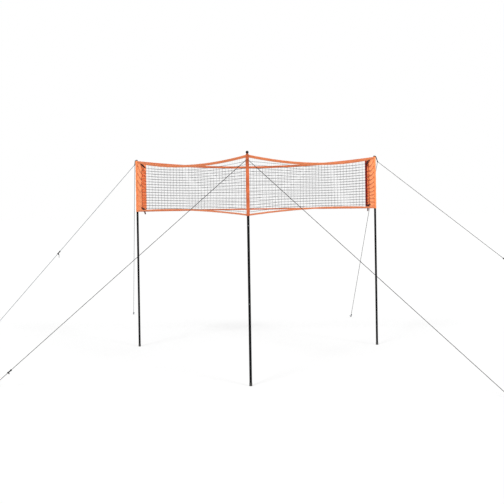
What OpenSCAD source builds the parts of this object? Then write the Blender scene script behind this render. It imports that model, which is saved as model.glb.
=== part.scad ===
// Volleyball net set on three poles. The near pole stands at the corner of a V-shaped front net, and a
// straight back net joins the two end poles. Two guys with ground pegs hold each pole, and one guy of
// each pole has a runner.
// Millimetres, +Z up. The origin is on the ground at the middle of the triangle's bounding box.

/* [Layout] */
// Distance between the axes of any two poles
pole_spacing = 2900; // [2600:10:3400]

/* [Poles] */
// Outside diameter of the pole tube
pole_od = 25; // [20:0.5:28]
// Wall of the pole tube
pole_wall = 1.2; // [1:0.1:1.8]
// Length of a pole's lower section, and of its middle section
section_len = 760; // [600:10:800]
// Height of the top end of the near pole's tube
near_pole_top = 2243; // [2100:1:2400]
// Rise of the end poles' tubes above the near pole's tube
end_rise = 39; // [10:1:60]
// Length of the spigot that joins two sections
spigot_len = 120; // [90:5:160]
// Wall of the spigot
spigot_wall = 1.5; // [1.2:0.1:2]
// Slip clearance of the spigot in the section above it
spigot_slip = 0.15; // [0.1:0.05:0.3]

/* [Snap buttons] */
// Diameter of a snap button
button_d = 6; // [5:0.5:8]
// How far a button stands out of its tube
button_out = 2.5; // [2:0.1:3]
// Height of a button above the joint it locks
button_above_joint = 30; // [20:1:40]
// Clearance round a button in its holes
button_gap = 0.1; // [0.06:0.02:0.2]

/* [Feet and tops] */
// Wall of the rubber foot
foot_wall = 1.8; // [1.5:0.1:3]
// Thickness of the foot's floor
foot_floor = 4; // [3:0.5:8]
// Height of the foot
foot_h = 32; // [24:1:45]
// Diameter of the ball on the near pole
ball_d = 29; // [22:1:44]
// Height of the ball's underside above its tube
ball_gap = 6; // [5.5:0.5:12]
// Diameter of an end cap's head
cap_head_d = 22; // [18:1:26]
// Length of the neck that the guy loop sits on
cap_neck_len = 6.4; // [5:0.2:12]
// Height of an end cap's head
cap_head_h = 3.5; // [3:0.5:8]
// Diameter of that neck
neck_d = 12; // [10:0.5:14]
// Thickness of the flange that covers the tube's end
flange_t = 2; // [1.5:0.5:4]
// Length of a top's plug inside the tube
plug_len = 22; // [15:1:30]

/* [Net] */
// Bare tube above the near pole's sleeve
near_bare = 1; // [1:0.5:10]
// Bare tube above an end pole's sleeve
end_bare = 2; // [1:0.5:12]
// Height of the net set at the near pole, tapes included
near_net_h = 595; // [450:5:700]
// Height of the net set at an end pole, tapes included
end_net_h = 625; // [450:5:700]
// Sag of a front net's top edge at mid span
front_sag = 75; // [0:5:110]
// Rise of a front net's bottom edge at mid span
front_rise = 33; // [0:1:60]
// Sag of the back net's top edge at mid span
back_sag = 90; // [0:5:110]
// Rise of the back net's bottom edge at mid span
back_rise = 4; // [0:1:60]
// Width of the top edge tapes
tape_w = 27; // [20:1:40]
// Width of the bottom edge tapes
bottom_tape_w = 17; // [14:1:40]
// Thickness of the edge tapes and of the end panels
tape_t = 3; // [2:0.5:5]
// Outside diameter of the cloth sleeve on a pole
sleeve_od = 36; // [32:0.5:44]
// Reach of a front net's end panel, from the end pole's axis
front_panel_w = 166; // [110:1:220]
// Reach of the back net's end panels, from the pole's axis
back_panel_w = 114; // [90:1:220]
// Number of gaps along a net
gaps_along = 24; // [16:1:30]
// Number of gaps up a net
gaps_up = 5; // [4:1:6]
// Width of the net's strands
strand_w = 5; // [3:0.5:8]
// Thickness of the net's strands
strand_t = 2; // [1.5:0.5:3]

/* [Corner straps] */
// Width of the strap webbing
strap_w = 20; // [15:1:25]
// Thickness of the strap webbing
strap_t = 2; // [1.5:0.5:3]
// Distance from a sleeve's top to the top strap's middle
top_strap_inset = 60; // [58:1:90]
// Distance from a sleeve's bottom to the bottom strap's middle
bottom_strap_inset = 38; // [38:1:70]
// Reach of a strap's tab over the front panel's outer face, from the panel's inner edge
strap_tab = 35; // [20:1:60]
// Length of the strap's loose tail
strap_tail = 50; // [30:2:70]
// Distance along the strap from the front panel to the buckle's middle
buckle_at = 34; // [30:1:50]
// Length of the buckle along the strap
buckle_len = 30; // [26:1:34]
// Thickness of the buckle's base and cheeks
buckle_wall = 2.5; // [2:0.5:3.5]
// Radius of the lever's cam
cam_r = 4.5; // [4:0.5:5]
// Diameter of the lever's pin
pin_d = 3; // [2.5:0.5:3.5]
// Length of the lever's blade from its pin
lever_len = 20; // [16:1:24]

/* [Guys] */
// Diameter of the guy cord
cord_d = 5.5; // [3:0.5:6]
// How far the near pole's knot stands out of its sleeve, and how far it hangs below the net's top
near_knot_out = 10.5; // [9:0.5:20]
near_knot_drop = 46; // [36:1:80]
// The same for the left pole's knot
left_knot_out = 13; // [9:0.5:30]
left_knot_drop = 46; // [36:1:80]
// The same for the right pole's knot
right_knot_out = 28; // [9:0.5:36]
right_knot_drop = 58; // [36:1:80]
// Reach of the near pole's left guy along the ground, and its bearing from +X
near_left_reach = 2530; // [2000:10:3200]
near_left_bearing = 180; // [150:1:210]
// Reach and bearing of the near pole's right guy
near_right_reach = 2400; // [2000:10:3200]
near_right_bearing = -13.5; // [-40:0.5:20]
// Reach and bearing of the left pole's outer guy
left_outer_reach = 2280; // [2000:10:3200]
left_outer_bearing = 161; // [140:1:190]
// Reach and bearing of the left pole's far guy
left_far_reach = 3200; // [2200:10:3600]
left_far_bearing = 100; // [80:1:125]
// Reach and bearing of the right pole's outer guy
right_outer_reach = 2890; // [2200:10:3600]
right_outer_bearing = 9; // [-20:1:40]
// Reach and bearing of the right pole's far guy
right_far_reach = 2630; // [2200:10:3600]
right_far_bearing = 93; // [70:1:110]

/* [Runners and pegs] */
// Length of a runner
runner_len = 52; // [40:1:70]
// Diameter of a runner at its ends
runner_d = 17; // [14:0.5:20]
// Clearance round the cord in a runner
runner_gap = 0.3; // [0.2:0.05:0.6]
// Length of the loose tail on the left outer runner
tail_len = 45; // [30:1:60]
// Diameter of a peg
peg_d = 6; // [5:0.5:8]
// Length of a peg's shaft
peg_len = 180; // [120:5:260]
// Height of a peg's hook above the ground
hook_h = 30; // [26:1:40]

/* [Hidden] */
$fn = 48;

// Colours
BLACK_PAINT = [0.13, 0.13, 0.14];
BLACK_PLASTIC = [0.09, 0.09, 0.10];
RUBBER = [0.16, 0.16, 0.16];
STEEL = [0.62, 0.63, 0.65];
ORANGE = [0.94, 0.48, 0.27];
ORANGE_TAPE = [0.84, 0.48, 0.33];
NET_BLACK = [0.20, 0.20, 0.22];
WEBBING = [0.12, 0.12, 0.13];
CORD_GREY = [0.42, 0.43, 0.44];

// Radii that several pieces share
pole_r = pole_od / 2;
bore_r = pole_r - pole_wall;
sleeve_r = sleeve_od / 2;
ball_r = ball_d / 2;
neck_r = neck_d / 2;
cord_r = cord_d / 2;
peg_r = peg_d / 2;
spigot_bore_r = bore_r - spigot_slip - spigot_wall;

// Where the poles stand. The shift centres the bounding box where the ball reaches further out than
// the end sleeves do.
triangle_depth = pole_spacing * sin(60);
centring = (max(ball_r, sleeve_r) - sleeve_r) / 2;
NEAR = [0, -triangle_depth / 2 + centring, 0];
LEFT = [-pole_spacing / 2, triangle_depth / 2 + centring, 0];
RIGHT = [pole_spacing / 2, triangle_depth / 2 + centring, 0];
// Bearing away from the middle of the triangle, at each pole
NEAR_OUT = -90;
LEFT_OUT = 150;
RIGHT_OUT = 30;
STANDS = [[NEAR, NEAR_OUT], [LEFT, LEFT_OUT], [RIGHT, RIGHT_OUT]];

// Heights
joint_low = foot_floor + section_len;
joint_high = joint_low + section_len;
end_pole_top = near_pole_top + end_rise;
ball_rise = ball_gap + ball_r;
near_net_top = near_pole_top - near_bare;
end_net_top = end_pole_top - end_bare;
near_net_bottom = near_net_top - near_net_h;
end_net_bottom = end_net_top - end_net_h;
near_neck_z = near_pole_top + flange_t;
end_neck_z = end_pole_top + flange_t;

// Knots below the guy loops, as [reach from the pole's axis, height]
knot_r = 3.1 * cord_r;
near_knot = [sleeve_r + near_knot_out, near_net_top - near_knot_drop];
left_knot = [sleeve_r + left_knot_out, end_net_top - left_knot_drop];
right_knot = [sleeve_r + right_knot_out, end_net_top - right_knot_drop];
GUY_START = knot_r - 0.4 * cord_r; // a guy starts this far from its knot's centre
EYE_H = 15; // height at which a guy meets its peg
RINGS = 6; // rings along a guy

function lerp(a, b, t) = a + (b - a) * t;
function turned(reach, bearing) = [reach * cos(bearing), reach * sin(bearing), 0];
function unit(v) = v / norm(v);
function knot_at(pole, out, knot) = pole + turned(knot[0], out) + [0, 0, knot[1]];
// The eye lies 1 mm inside the peg's surface, where the cord grips it
function eye_at(pole, reach, bearing) = pole + turned(reach - peg_r + 1, bearing) + [0, 0, EYE_H];

// Each guy as [knot, eye, pole, reach, bearing]
function guy_line(pole, out, knot, reach, bearing) =
    [knot_at(pole, out, knot), eye_at(pole, reach, bearing), pole, reach, bearing];
NEAR_LEFT = guy_line(NEAR, NEAR_OUT, near_knot, near_left_reach, near_left_bearing);
NEAR_RIGHT = guy_line(NEAR, NEAR_OUT, near_knot, near_right_reach, near_right_bearing);
LEFT_OUTER = guy_line(LEFT, LEFT_OUT, left_knot, left_outer_reach, left_outer_bearing);
LEFT_FAR = guy_line(LEFT, LEFT_OUT, left_knot, left_far_reach, left_far_bearing);
RIGHT_OUTER = guy_line(RIGHT, RIGHT_OUT, right_knot, right_outer_reach, right_outer_bearing);
RIGHT_FAR = guy_line(RIGHT, RIGHT_OUT, right_knot, right_far_reach, right_far_bearing);
GUYS = [NEAR_LEFT, NEAR_RIGHT, LEFT_OUTER, LEFT_FAR, RIGHT_OUTER, RIGHT_FAR];
function up_guy(g) = unit(g[0] - g[1]);
function guy_bearing(g) = atan2(up_guy(g)[1], up_guy(g)[0]);

// ---- Swept cord: rings of points along a path, closed at both ends ----
// The reference direction fixes the rings' turn, and is parallel to no part of the path
SIDES = 8;
UP = [0, 0, 1];
function along(path, i) = unit(path[min(i + 1, len(path) - 1)] - path[max(i - 1, 0)]);
function ring(path, i, r, ref) =
    let (d = along(path, i), u = unit(cross(d, ref)), v = cross(d, u))
    [for (k = [0:SIDES - 1]) path[i] + r * (cos(k * 360 / SIDES) * u + sin(k * 360 / SIDES) * v)];
function wall_faces(rings) =
    [for (i = [0:rings - 2], k = [0:SIDES - 1], half = [0, 1])
        let (a = i * SIDES + k, b = i * SIDES + (k + 1) % SIDES)
        half == 0 ? [a, a + SIDES, b] : [b, a + SIDES, b + SIDES]];
function end_faces(rings) =
    let (last = (rings - 1) * SIDES)
    concat([for (k = [1:SIDES - 2]) [0, k, k + 1]],
           [for (k = [1:SIDES - 2]) [last, last + k + 1, last + k]]);
module swept(path, ref) {
    points = [for (i = [0:len(path) - 1]) each ring(path, i, cord_r, ref)];
    polyhedron(points, concat(wall_faces(len(path)), end_faces(len(path))), convexity = 4);
}

// ---- Poles ----
// A pole's own frame has its axis on Z, and +X pointing out of the triangle
module at_pole(pole, out) {
    translate(pole) rotate([0, 0, out]) children();
}
module at_near() { at_pole(NEAR, NEAR_OUT) children(); }
module at_left() { at_pole(LEFT, LEFT_OUT) children(); }
module at_right() { at_pole(RIGHT, RIGHT_OUT) children(); }

module button_holes(r) {
    for (joint = [joint_low, joint_high])
        translate([0, 0, joint + button_above_joint])
            rotate([0, 90, 0]) cylinder(r = r, h = pole_od);
}

module pole_section(bottom, top) {
    color(BLACK_PAINT) difference() {
        translate([0, 0, bottom]) cylinder(r = pole_r, h = top - bottom);
        translate([0, 0, bottom - 1]) cylinder(r = bore_r, h = top - bottom + 2);
        button_holes(button_d / 2 + button_gap);
    }
}

// A spigot is pressed into the lower section and slips into the upper one
module spigot(joint) {
    half = spigot_len / 2;
    outer = bore_r - spigot_slip;
    color(STEEL) difference() {
        translate([0, 0, joint]) union() {
            translate([0, 0, -half]) cylinder(r = bore_r, h = half);
            cylinder(r = outer, h = half);
        }
        translate([0, 0, joint - half - 1]) cylinder(r = spigot_bore_r, h = spigot_len + 2);
        button_holes(button_d / 2 + button_gap);
    }
}

module pole_spigots() {
    for (stand = STANDS, joint = [joint_low, joint_high])
        at_pole(stand[0], stand[1]) spigot(joint);
}

// The button's flange stays inside the spigot, and its rounded end stands out of the tube
module button(joint) {
    flange_r = button_d / 2 + 1;
    flange_face = sqrt(pow(spigot_bore_r, 2) - pow(flange_r, 2)) - button_gap;
    flange_thick = 1.5;
    tip = pole_r + button_out;
    round_r = 1;
    color(STEEL) translate([0, 0, joint + button_above_joint]) rotate([0, 90, 0]) rotate_extrude()
        polygon([
            [0, flange_face - flange_thick], [flange_r, flange_face - flange_thick],
            [flange_r, flange_face], [button_d / 2, flange_face],
            [button_d / 2, tip - round_r],
            for (a = [30, 60]) [button_d / 2 - round_r + round_r * cos(a), tip - round_r + round_r * sin(a)],
            [button_d / 2 - round_r, tip], [0, tip]
        ]);
}

module foot() {
    color(RUBBER) rotate_extrude() polygon([
        [0, 0], [pole_r + foot_wall - 1, 0], [pole_r + foot_wall, 1],
        [pole_r + foot_wall, foot_h - 4], [pole_r + 0.6, foot_h], [pole_r, foot_h],
        [pole_r, foot_floor], [0, foot_floor]
    ]);
}

module pole_feet() {
    for (stand = STANDS) at_pole(stand[0], stand[1]) foot();
}

module top_plug(top) {
    translate([0, 0, top - plug_len]) cylinder(r = bore_r, h = plug_len);
    translate([0, 0, top]) cylinder(r = pole_r, h = flange_t);
}

module ball_top() {
    color(BLACK_PLASTIC) union() {
        top_plug(near_pole_top);
        translate([0, 0, near_neck_z]) cylinder(r = neck_r, h = ball_rise - flange_t);
        translate([0, 0, near_pole_top + ball_rise]) sphere(r = ball_r);
    }
}

module cap() {
    head_z = end_neck_z + cap_neck_len;
    color(BLACK_PLASTIC) union() {
        top_plug(end_pole_top);
        translate([0, 0, end_neck_z]) cylinder(r = neck_r, h = cap_neck_len);
        translate([0, 0, head_z]) rotate_extrude() polygon([
            [0, 0], [cap_head_d / 2, 0], [cap_head_d / 2, cap_head_h * 0.4],
            for (a = [30, 60]) [cap_head_d / 2 * cos(a), cap_head_h * (0.4 + 0.6 * sin(a))],
            [0, cap_head_h]
        ]);
    }
}

// ---- Nets ----
// A net's own frame has +X from one pole's axis to the other's, and Z up. Panels lie in its XZ plane.
function front_top(x) = let (t = x / pole_spacing)
    lerp(near_net_top, end_net_top, t) - 4 * front_sag * t * (1 - t);
function front_bottom(x) = let (t = x / pole_spacing)
    lerp(near_net_bottom, end_net_bottom, t) + 4 * front_rise * t * (1 - t);
function back_top(x) = let (t = x / pole_spacing) end_net_top - 4 * back_sag * t * (1 - t);
function back_bottom(x) = let (t = x / pole_spacing) end_net_bottom + 4 * back_rise * t * (1 - t);
function top_edge(front, x) = front ? front_top(x) : back_top(x);
function bottom_edge(front, x) = front ? front_bottom(x) : back_bottom(x);
// Where the meshed part of a net starts and ends
function mesh_start(front) = front ? sleeve_r - 1 : back_panel_w;
function mesh_end(front) = pole_spacing - (front ? front_panel_w : back_panel_w);
function column(front, i) = lerp(mesh_start(front), mesh_end(front), i / gaps_along);
// Stations along a tape: both poles' axes side, the mesh's columns and the end panels' middles
function stations(front) = concat(
    front ? [] : [sleeve_r - 1, (sleeve_r + back_panel_w) / 2],
    [for (i = [0:gaps_along]) column(front, i)],
    [lerp(mesh_end(front), pole_spacing - sleeve_r, 0.5), pole_spacing - sleeve_r + 1]);

module in_plane(thick) {
    rotate([90, 0, 0]) linear_extrude(thick, center = true) children();
}
module pole_cores() {
    for (x = [0, pole_spacing]) translate([x, 0, 0]) cylinder(r = sleeve_r, h = 2 * end_pole_top);
}
// A band between two heights above the stations xs
module band(xs, low, high) {
    polygon(concat([for (i = [0:len(xs) - 1]) [xs[i], low[i]]],
                   [for (i = [len(xs) - 1:-1:0]) [xs[i], high[i]]]));
}

module tape(front, top) {
    xs = stations(front);
    wide = top ? tape_w : bottom_tape_w;
    low = [for (x = xs) top ? top_edge(front, x) - wide : bottom_edge(front, x)];
    color(ORANGE_TAPE) difference() {
        in_plane(tape_t) band(xs, low, [for (z = low) z + wide]);
        pole_cores();
    }
}

module end_panel(front, xs) {
    color(ORANGE) difference() {
        in_plane(tape_t) band(xs,
            [for (x = xs) bottom_edge(front, x) + bottom_tape_w], [for (x = xs) top_edge(front, x) - tape_w]);
        pole_cores();
    }
}

// The corner of gap i, j of a net, moved in by half a strand
function mesh_at(front, i, j, dx, dz) =
    let (x = column(front, i),
        low = bottom_edge(front, x) + bottom_tape_w, high = top_edge(front, x) - tape_w)
    [x + dx, lerp(low, high, j / gaps_up) + dz];
function gap_outline(front, i, j) = let (h = strand_w / 2) [
    mesh_at(front, i, j, h, h), mesh_at(front, i + 1, j, -h, h),
    mesh_at(front, i + 1, j + 1, -h, -h), mesh_at(front, i, j + 1, h, -h)];
module net(front) {
    columns = [for (i = [0:gaps_along]) column(front, i)];
    outline = concat(
        [for (x = columns) [x, bottom_edge(front, x) + bottom_tape_w]],
        [for (i = [gaps_along:-1:0]) [columns[i], top_edge(front, columns[i]) - tape_w]]);
    gaps = [for (i = [0:gaps_along - 1], j = [0:gaps_up - 1]) gap_outline(front, i, j)];
    paths = concat([[for (k = [0:len(outline) - 1]) k]],
        [for (g = [0:len(gaps) - 1]) [for (k = [0:3]) len(outline) + 4 * g + k]]);
    color(NET_BLACK) difference() {
        in_plane(strand_t) polygon(concat(outline, [for (g = gaps) each g]), paths);
        pole_cores();
    }
}

module place_front_left() { translate(NEAR) rotate([0, 0, 120]) children(); }
module place_front_right() { translate(NEAR) rotate([0, 0, 60]) children(); }
module place_back() { translate(LEFT) children(); }

module sleeve(bottom, top) {
    color(ORANGE) translate([0, 0, bottom]) difference() {
        cylinder(r = sleeve_r, h = top - bottom);
        translate([0, 0, -1]) cylinder(r = pole_r, h = top - bottom + 2);
    }
}

FRONT_PANEL_XS = [mesh_end(true), lerp(mesh_end(true), pole_spacing - sleeve_r, 0.5),
    pole_spacing - sleeve_r + 1];
BACK_LEFT_XS = [sleeve_r - 1, (sleeve_r + back_panel_w) / 2, back_panel_w];
BACK_RIGHT_XS = [mesh_end(false), lerp(mesh_end(false), pole_spacing - sleeve_r, 0.5),
    pole_spacing - sleeve_r + 1];

// ---- Corner straps and buckles ----
// They are drawn at the right pole and mirrored for the left one. A strap's own frame has its origin
// where the strap meets the front panel, +X towards the back panel, and +Y into the triangle.
FRONT_SIDE = 240; // bearing of the front net from the right pole
BACK_SIDE = 180; // bearing of the back net from the right pole
SEWN_IN = 20; // from the front panel's inner edge to the strap
SEWN_IN_BACK = 8; // from the back panel's inner edge to the strap
LAP = 4; // by which the strap's two parts run into each other
TRIM = 40; // depth of the blocks that trim the strap at the panels
front_corner = turned(front_panel_w - SEWN_IN, FRONT_SIDE);
back_corner = turned(back_panel_w - SEWN_IN_BACK, BACK_SIDE);
strap_run = norm(back_corner - front_corner);
strap_bearing = atan2((back_corner - front_corner)[1], (back_corner - front_corner)[0]);
strap_face = strap_t / 2;
strap_top = end_net_top - top_strap_inset;
strap_bottom = end_net_bottom + bottom_strap_inset;
PIN_FIT = 0.06; // running clearance of the pin in the cheeks
CAM_GAP = 0.4; // between the cam and the webbing
LEVER_T = 2.5;
pin_r = pin_d / 2;
pin_out = strap_face + CAM_GAP + cam_r;
cheek_in = strap_w / 2 + 1;
cheek_out = cheek_in + buckle_wall;
cheek_top = pin_out + pin_r + 2;
cam_w = strap_w - 1;
buckle_back = -strap_face - buckle_wall;

module at_strap(z) {
    translate(front_corner + [0, 0, z]) rotate([0, 0, strap_bearing]) children();
}
module right_corner(z) {
    translate(RIGHT) at_strap(z) children();
}
module left_corner(z) {
    translate(LEFT) mirror([1, 0, 0]) at_strap(z) children();
}

// Everything from a panel's inner face outwards, which trims the strap where it is sewn on
module beyond_panels() {
    reach = front_panel_w + back_panel_w;
    rotate([0, 0, FRONT_SIDE]) translate([0, -tape_t / 2, 0]) cube([reach, TRIM, 2 * end_pole_top]);
    rotate([0, 0, BACK_SIDE]) translate([0, tape_t / 2 - TRIM, 0]) cube([reach, TRIM, 2 * end_pole_top]);
}

// The webbing goes on through the net, round the front panel's inner edge, to a tab on its outer face
module strap_hook() {
    turn = front_panel_w + strand_w;
    inside = front_panel_w - SEWN_IN - LAP;
    outside = front_panel_w - strap_tab;
    face = tape_t / 2;
    rotate([0, 0, FRONT_SIDE]) linear_extrude(strap_w, center = true) union() {
        translate([outside, face]) square([turn + strap_t - outside, strap_t]);
        translate([turn, -face - strap_t]) square([strap_t, tape_t + 2 * strap_t]);
        translate([inside, -face - strap_t]) square([turn + strap_t - inside, strap_t]);
    }
}

// The webbing, with its loose end folded down beside the buckle
module strap(z) {
    translate([0, 0, z]) strap_hook();
    fold = buckle_at + buckle_len / 2 + 1;
    half = strap_w / 2;
    difference() {
        at_strap(z) translate([-2 * tape_t, -strap_face, -half])
            cube([strap_run + 4 * tape_t, strap_t, strap_w]);
        beyond_panels();
    }
    at_strap(z) translate([0, strap_face + strap_t, 0]) rotate([90, 0, 0]) linear_extrude(strap_t)
        polygon([
            [fold, half], [fold + strap_w, half], [fold + strap_w, -half - strap_tail + 4],
            [fold, -half - strap_tail]
        ]);
}
module corner_straps() {
    color(WEBBING) for (z = [strap_bottom, strap_top]) {
        translate(RIGHT) strap(z);
        translate(LEFT) mirror([1, 0, 0]) strap(z);
    }
}

// A base behind the webbing, two cheeks that hold the lever's pin, and a bar in front of the webbing
module cheek_profile() {
    half = buckle_len / 2;
    difference() {
        polygon([
            [-half, buckle_back], [half, buckle_back], [half, strap_face + 2],
            [pin_r + 4, cheek_top], [-pin_r - 4, cheek_top], [-half, strap_face + 2]
        ]);
        translate([0, pin_out]) circle(r = pin_r + PIN_FIT);
    }
}
module buckle() {
    half = buckle_len / 2;
    bar = 3;
    translate([buckle_at, 0, 0]) {
        for (z = [-cheek_out, cheek_in])
            translate([0, 0, z]) linear_extrude(buckle_wall) cheek_profile();
        translate([-half, buckle_back, -cheek_out]) cube([buckle_len, buckle_wall, 2 * cheek_out]);
        translate([-half, strap_face, -cheek_out]) cube([bar, 2, 2 * cheek_out]);
    }
}
module corner_buckles() {
    color(BLACK_PLASTIC) for (z = [strap_bottom, strap_top]) {
        right_corner(z) buckle();
        left_corner(z) buckle();
    }
}

// Closed, the blade lies along the strap. It opens into the triangle.
module lever() {
    color(BLACK_PLASTIC) translate([buckle_at, pin_out, 0]) {
        translate([0, 0, -cheek_out]) cylinder(r = pin_r, h = 2 * cheek_out);
        translate([0, 0, -cam_w / 2]) linear_extrude(cam_w) union() {
            circle(r = cam_r);
            polygon([
                [0, cam_r], [0, cam_r - LEVER_T], [lever_len - 4, cam_r - LEVER_T],
                [lever_len, cam_r - LEVER_T + 1.5], [lever_len, cam_r]
            ]);
        }
    }
}

// ---- Guys ----
// The loop lies round the neck of the pole's top, over the sleeve's rim and down to its knot
module guy_loop(pole, out, neck_z, net_top, knot) {
    arc_r = neck_r + cord_r + 0.6;
    arc_z = neck_z + cord_r + 0.2;
    rim = [sleeve_r + cord_r + 1, 5, net_top + cord_r - 0.3];
    edge = [pole_r + 2, 6.8, arc_z];
    side = cord_r + 0.4;
    half = [[knot[0], side, knot[1] + 3], rim, edge];
    path = concat(half,
        [for (a = [75:35:285]) [arc_r * cos(a), arc_r * sin(a), arc_z]],
        [for (i = [2:-1:0]) [half[i][0], -half[i][1], half[i][2]]]);
    color(CORD_GREY) at_pole(pole, out) union() {
        swept(path, UP);
        translate([knot[0], 0, knot[1]]) sphere(r = knot_r);
    }
}

module guy_cord(g) {
    start = g[0] - GUY_START * up_guy(g);
    color(CORD_GREY) swept([for (i = [0:RINGS - 1]) lerp(start, g[1], i / (RINGS - 1))], UP);
}

// A guy's own frame has its origin at the eye and +Z up the guy
module at_guy(g, run) {
    translate(g[1] + run * up_guy(g)) rotate([0, acos(up_guy(g)[2]), guy_bearing(g)]) children();
}

// A bored barrel with a waist, and an ear below it for a cord's end
EAR_AT = 8; // from the runner's lower end
EAR_OUT = 13.5; // from the runner's axis
EAR_T = 5;
EAR_R = 5.5;
module runner(g, run) {
    outer = runner_d / 2;
    waist = 0.72 * outer;
    bore = cord_r + runner_gap;
    ear_r = cord_r + 0.4;
    color(BLACK_PLASTIC) at_guy(g, run) difference() {
        union() {
            rotate_extrude() polygon([
                [bore, 0], [outer - 1.5, 0], [outer, 1.5],
                for (k = [-3:3]) [waist + (outer - waist) * pow(k / 3, 2), (0.5 + 0.12 * k) * runner_len],
                [outer, runner_len - 1.5], [outer - 1.5, runner_len], [bore, runner_len]
            ]);
            translate([EAR_OUT, EAR_T / 2, EAR_AT]) rotate([90, 0, 0]) cylinder(r = EAR_R, h = EAR_T);
            translate([outer - 3, -EAR_T / 2, EAR_AT - 5]) cube([EAR_OUT - outer + 3, EAR_T, 10]);
        }
        translate([EAR_OUT, EAR_T, EAR_AT]) rotate([90, 0, 0]) cylinder(r = ear_r, h = 2 * EAR_T);
        translate([0, 0, -1]) cylinder(r = bore, h = runner_len + 2);
    }
}

// The loose end goes through the ear and hangs straight down
module runner_tail(g, run) {
    slope = acos(up_guy(g)[2]);
    b = guy_bearing(g);
    down = [cos(slope) * cos(b), cos(slope) * sin(b), -sin(slope)];
    ear = g[1] + (run + EAR_AT) * up_guy(g) + EAR_OUT * down;
    across = [-sin(b), cos(b), 0];
    path = [ear - 6 * across, ear + 3 * across, ear + 5.5 * across - [0, 0, 1.5],
        ear + 6.5 * across - [0, 0, 5], ear + 6.5 * across - [0, 0, tail_len]];
    color(CORD_GREY) swept(path, [cos(b), sin(b), 0]);
}

// A rod with a hook for the cord, lying flat with its point away from the pole
module peg() {
    bend = 8;
    arm = 12;
    top = hook_h - peg_r;
    translate([bend, 0, peg_r]) rotate([0, 90, 0]) cylinder(r = peg_r, h = peg_len);
    translate([bend + peg_len, 0, peg_r]) rotate([0, 90, 0]) cylinder(r1 = peg_r, r2 = 0.8, h = 16);
    translate([0, 0, peg_r + bend]) cylinder(r = peg_r, h = top - peg_r - 2 * bend);
    translate([bend, 0, top]) rotate([0, 90, 0]) cylinder(r = peg_r, h = arm);
    translate([bend, 0, peg_r + bend]) rotate([90, 0, 0]) rotate([0, 0, 180])
        rotate_extrude(angle = 90) translate([bend, 0]) circle(r = peg_r);
    translate([bend, 0, top - bend]) rotate([90, 0, 0]) rotate([0, 0, 90])
        rotate_extrude(angle = 90) translate([bend, 0]) circle(r = peg_r);
}
module ground_pegs() {
    color(STEEL) for (g = GUYS)
        translate(g[2] + turned(g[3], g[4])) rotate([0, 0, g[4]]) peg();
}

// Distance of each runner's lower end from its eye, along the guy
NEAR_LEFT_RUN = 189;
LEFT_OUTER_RUN = 1582;
RIGHT_OUTER_RUN = 1578;

at_near() pole_section(foot_floor, joint_low);  // near_pole_lower
at_near() pole_section(joint_low, joint_high);  // near_pole_middle
at_near() pole_section(joint_high, near_pole_top);  // near_pole_upper
at_left() pole_section(foot_floor, joint_low);  // left_pole_lower
at_left() pole_section(joint_low, joint_high);  // left_pole_middle
at_left() pole_section(joint_high, end_pole_top);  // left_pole_upper
at_right() pole_section(foot_floor, joint_low);  // right_pole_lower
at_right() pole_section(joint_low, joint_high);  // right_pole_middle
at_right() pole_section(joint_high, end_pole_top);  // right_pole_upper
pole_spigots();
pole_feet();
at_near() button(joint_low);  // near_button_low
at_near() button(joint_high);  // near_button_high
at_left() button(joint_low);  // left_button_low
at_left() button(joint_high);  // left_button_high
at_right() button(joint_low);  // right_button_low
at_right() button(joint_high);  // right_button_high
at_near() ball_top();  // near_ball_top
at_left() cap();  // left_cap
at_right() cap();  // right_cap
at_near() sleeve(near_net_bottom, near_net_top);  // near_sleeve
at_left() sleeve(end_net_bottom, end_net_top);  // left_sleeve
at_right() sleeve(end_net_bottom, end_net_top);  // right_sleeve
place_front_left() end_panel(true, FRONT_PANEL_XS);  // left_front_panel
place_back() end_panel(false, BACK_LEFT_XS);  // left_back_panel
place_front_right() end_panel(true, FRONT_PANEL_XS);  // right_front_panel
place_back() end_panel(false, BACK_RIGHT_XS);  // right_back_panel
place_front_left() net(true);  // front_left_net
place_front_right() net(true);  // front_right_net
place_back() net(false);  // back_net
place_front_left() tape(true, true);  // front_left_top_tape
place_front_left() tape(true, false);  // front_left_bottom_tape
place_front_right() tape(true, true);  // front_right_top_tape
place_front_right() tape(true, false);  // front_right_bottom_tape
place_back() tape(false, true);  // back_top_tape
place_back() tape(false, false);  // back_bottom_tape
corner_straps();
corner_buckles();
left_corner(strap_top) lever();  // left_top_lever
left_corner(strap_bottom) lever();  // left_bottom_lever
right_corner(strap_top) lever();  // right_top_lever
right_corner(strap_bottom) lever();  // right_bottom_lever
guy_loop(NEAR, NEAR_OUT, near_neck_z, near_net_top, near_knot);  // near_guy_loop
guy_loop(LEFT, LEFT_OUT, end_neck_z, end_net_top, left_knot);  // left_guy_loop
guy_loop(RIGHT, RIGHT_OUT, end_neck_z, end_net_top, right_knot);  // right_guy_loop
guy_cord(NEAR_LEFT);  // near_left_guy
guy_cord(NEAR_RIGHT);  // near_right_guy
guy_cord(LEFT_OUTER);  // left_outer_guy
guy_cord(LEFT_FAR);  // left_far_guy
guy_cord(RIGHT_OUTER);  // right_outer_guy
guy_cord(RIGHT_FAR);  // right_far_guy
runner(NEAR_LEFT, NEAR_LEFT_RUN);  // near_left_runner
runner(LEFT_OUTER, LEFT_OUTER_RUN);  // left_outer_runner
runner(RIGHT_OUTER, RIGHT_OUTER_RUN);  // right_outer_runner
runner_tail(LEFT_OUTER, LEFT_OUTER_RUN);  // left_outer_tail
ground_pegs();
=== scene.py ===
"""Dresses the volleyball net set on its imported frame.

The poles, tops, feet, buckles, levers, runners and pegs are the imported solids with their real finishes. The nets,
tapes, sleeves, panels, straps and cords replace the plain solids that hold their places. Everything is in metres.
"""
from math import cos, degrees, hypot, pi, radians, sin

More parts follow.
